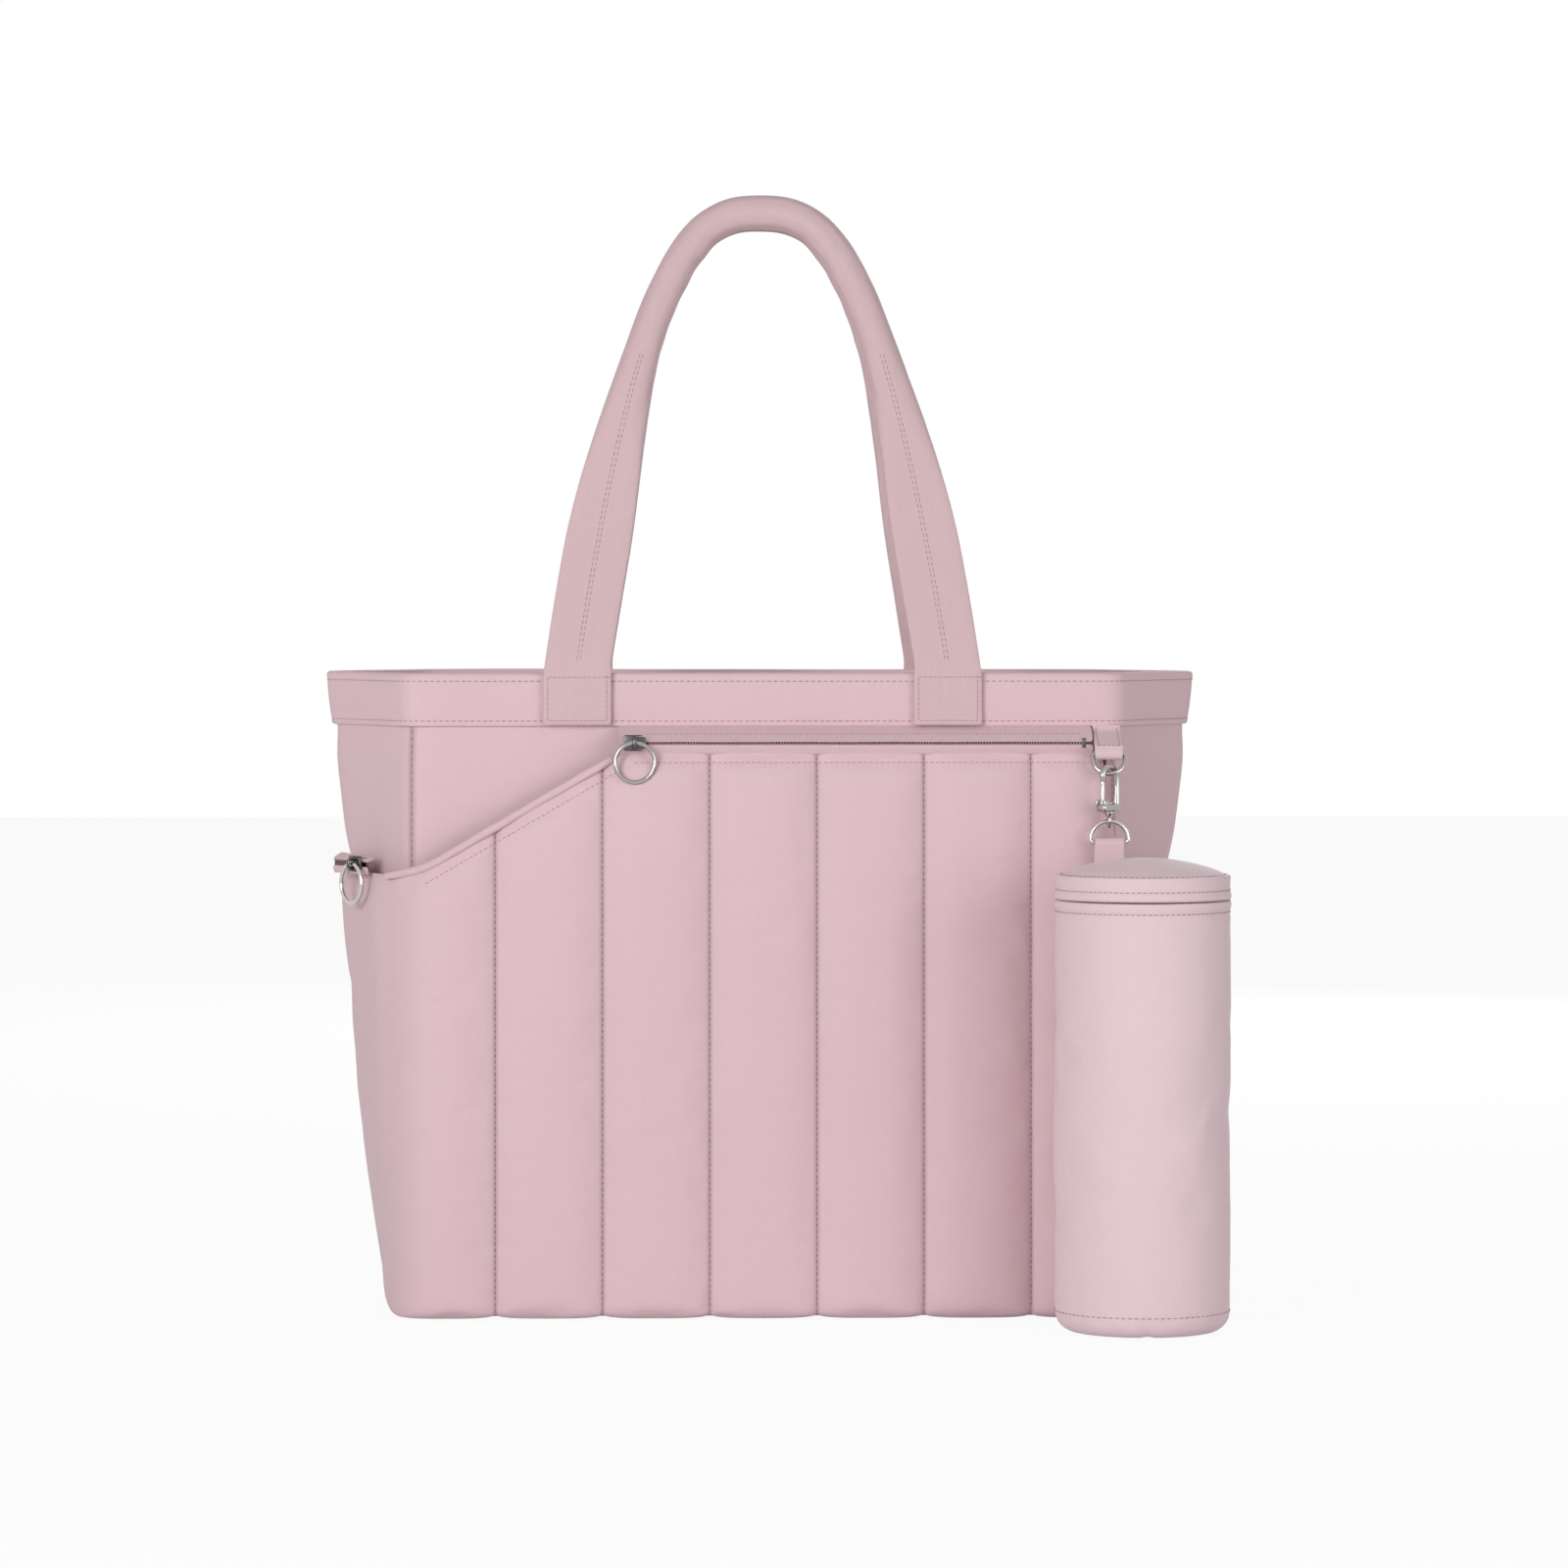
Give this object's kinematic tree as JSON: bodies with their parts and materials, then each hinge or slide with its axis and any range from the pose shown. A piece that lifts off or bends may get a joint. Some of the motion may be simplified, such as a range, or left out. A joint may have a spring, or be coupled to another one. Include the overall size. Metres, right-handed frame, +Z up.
{
  "type": "quilted tote bag with clip-on bottle pouch",
  "caption": "Quilted diaper tote with carrying handles, a zipped wrap-around front pocket and a round insulated bottle pouch clipped to its front corner.",
  "frame": {"origin": "centre of the bag's base, on its underside", "axes": "+X to the right seen from the front, +Y to the back, +Z up"},
  "size_m": [0.4795, 0.269, 0.596],
  "materials": {
    "cloth": "matte",
    "side_cloth": "matte",
    "quilt": "matte",
    "handle_cloth": "matte",
    "filler": "matte",
    "lining": "matte",
    "board": "matte",
    "zip_cloth": "matte",
    "zip_metal": "satin",
    "coil": "satin",
    "ring_metal": "polished",
    "light_metal": "polished",
    "magnet": "satin",
    "pouch_cloth": "matte",
    "web": "matte",
    "disc": "matte"
  },
  "bodies": {
    "bag": {"front_panel": "cloth", "back_panel": "cloth", "left_gusset": "side_cloth", "right_gusset": "side_cloth", "base_panel": "side_cloth", "base_board": "board", "top_band": "cloth", "main_lining": "lining", "lining_floor": "lining", "pocket_front": "quilt", "pocket_left_wing": "quilt", "pocket_right_wing": "quilt", "pocket_floor": "side_cloth", "pocket_lining": "lining", "mouth_binding": "cloth", "front_zip_tapes": "zip_cloth", "front_zip_coils": "coil", "front_zip_stop": "zip_metal", "side_zip_tape": "zip_cloth", "side_zip_coils": "coil", "front_handle_anchors": "handle_cloth", "rear_handle_anchors": "handle_cloth", "front_magnet": "magnet", "rear_magnet": "magnet", "clip_tab": "web"},
    "front_handle": {"front_handle": "handle_cloth", "front_handle_core": "filler"},
    "rear_handle": {"rear_handle": "handle_cloth", "rear_handle_core": "filler"},
    "front_slider": {"front_zip_slider": "zip_metal"},
    "front_ring": {"front_ring_pull": "ring_metal"},
    "side_slider": {"side_zip_slider": "zip_metal"},
    "side_ring": {"side_ring_pull": "ring_metal"},
    "d_ring": {"d_ring": "ring_metal"},
    "snap_hook": {"snap_hook_body": "ring_metal", "gate_pin": "ring_metal", "gate_spring": "light_metal"},
    "gate": {"hook_gate": "ring_metal"},
    "swivel": {"swivel_eye": "ring_metal"},
    "lower_ring": {"lower_ring": "light_metal"},
    "pouch": {"pouch_tab": "web", "pouch_shell": "pouch_cloth", "pouch_insulation": "filler", "pouch_lining": "lining", "pouch_base_disc": "disc", "pouch_lower_coil": "coil"},
    "pouch_lid": {"pouch_lid": "pouch_cloth", "lid_foam": "filler", "pouch_upper_coil": "coil"},
    "pouch_slider": {"pouch_zip_slider": "zip_metal"},
    "pouch_pull": {"pouch_zip_pull": "zip_metal"}
  },
  "joints": [
    {"name": "front_handle_fold", "type": "hinge", "parent": "bag", "child": "front_handle", "pos_m": [0, -0.0713, 0.343], "axis": [1, 0, 0], "range_deg": [0, 115]},
    {"name": "rear_handle_fold", "type": "hinge", "parent": "bag", "child": "rear_handle", "pos_m": [0, 0.0713, 0.343], "axis": [-1, 0, 0], "range_deg": [0, 115]},
    {"name": "front_zip_slide", "type": "slide", "parent": "bag", "child": "front_slider", "axis": [1, 0, 0], "range_m": [0, 0.215]},
    {"name": "front_ring_swing", "type": "hinge", "parent": "front_slider", "child": "front_ring", "pos_m": [-0.0675, -0.08707, 0.30421], "axis": [-1, 0, 0], "range_deg": [0, 150]},
    {"name": "side_zip_slide", "type": "slide", "parent": "bag", "child": "side_slider", "axis": [0.5579, -0.8299, 0], "range_m": [-0.016, 0.014]},
    {"name": "side_ring_swing", "type": "hinge", "parent": "side_slider", "child": "side_ring", "pos_m": [-0.21846, -0.04546, 0.2388], "axis": [-0.5579, 0.8299, 0], "range_deg": [0, 150]},
    {"name": "d_ring_swing", "type": "hinge", "parent": "bag", "child": "d_ring", "pos_m": [0.182, -0.08875, 0.29816], "axis": [-1, 0, 0], "range_deg": [0, 80]},
    {"name": "hook_swing", "type": "hinge", "parent": "d_ring", "child": "snap_hook", "pos_m": [0.182, -0.09455, 0.28811], "axis": [-1, 0, 0], "range_deg": [0, 20]},
    {"name": "gate_open", "type": "hinge", "parent": "snap_hook", "child": "gate", "pos_m": [0.17804, -0.09851, 0.27261], "axis": [0.7071, -0.7071, 0], "range_deg": [0, 20], "stiffness_Nm_per_rad": 0.02, "springref_deg": -11.46},
    {"name": "swivel_turn", "type": "hinge", "parent": "snap_hook", "child": "swivel", "pos_m": [0.182, -0.09455, 0.268], "axis": [0, 0, 1], "range_deg": [-20, 8]},
    {"name": "lower_ring_swing", "type": "hinge", "parent": "swivel", "child": "lower_ring", "pos_m": [0.182, -0.09455, 0.26306], "axis": [-1, 0, 0], "range_deg": [0, 15]},
    {"name": "pouch_swing", "type": "hinge", "parent": "lower_ring", "child": "pouch", "pos_m": [0.182, -0.09455, 0.25166], "axis": [-1, 0, 0], "range_deg": [0, 25]},
    {"name": "pouch_lid_open", "type": "hinge", "parent": "pouch", "child": "pouch_lid", "pos_m": [0.2435, -0.1441, 0.2245], "axis": [0, 1, 0], "range_deg": [0, 110]},
    {"name": "pouch_zip_run", "type": "hinge", "parent": "pouch", "child": "pouch_slider", "pos_m": [0.196, -0.1441, 0.2245], "axis": [0, 0, 1], "range_deg": [0, 265]},
    {"name": "pouch_pull_swing", "type": "hinge", "parent": "pouch_slider", "child": "pouch_pull", "pos_m": [0.22055, -0.10158, 0.2245], "axis": [0.866, -0.5, 0], "range_deg": [0, 80]}
  ]
}
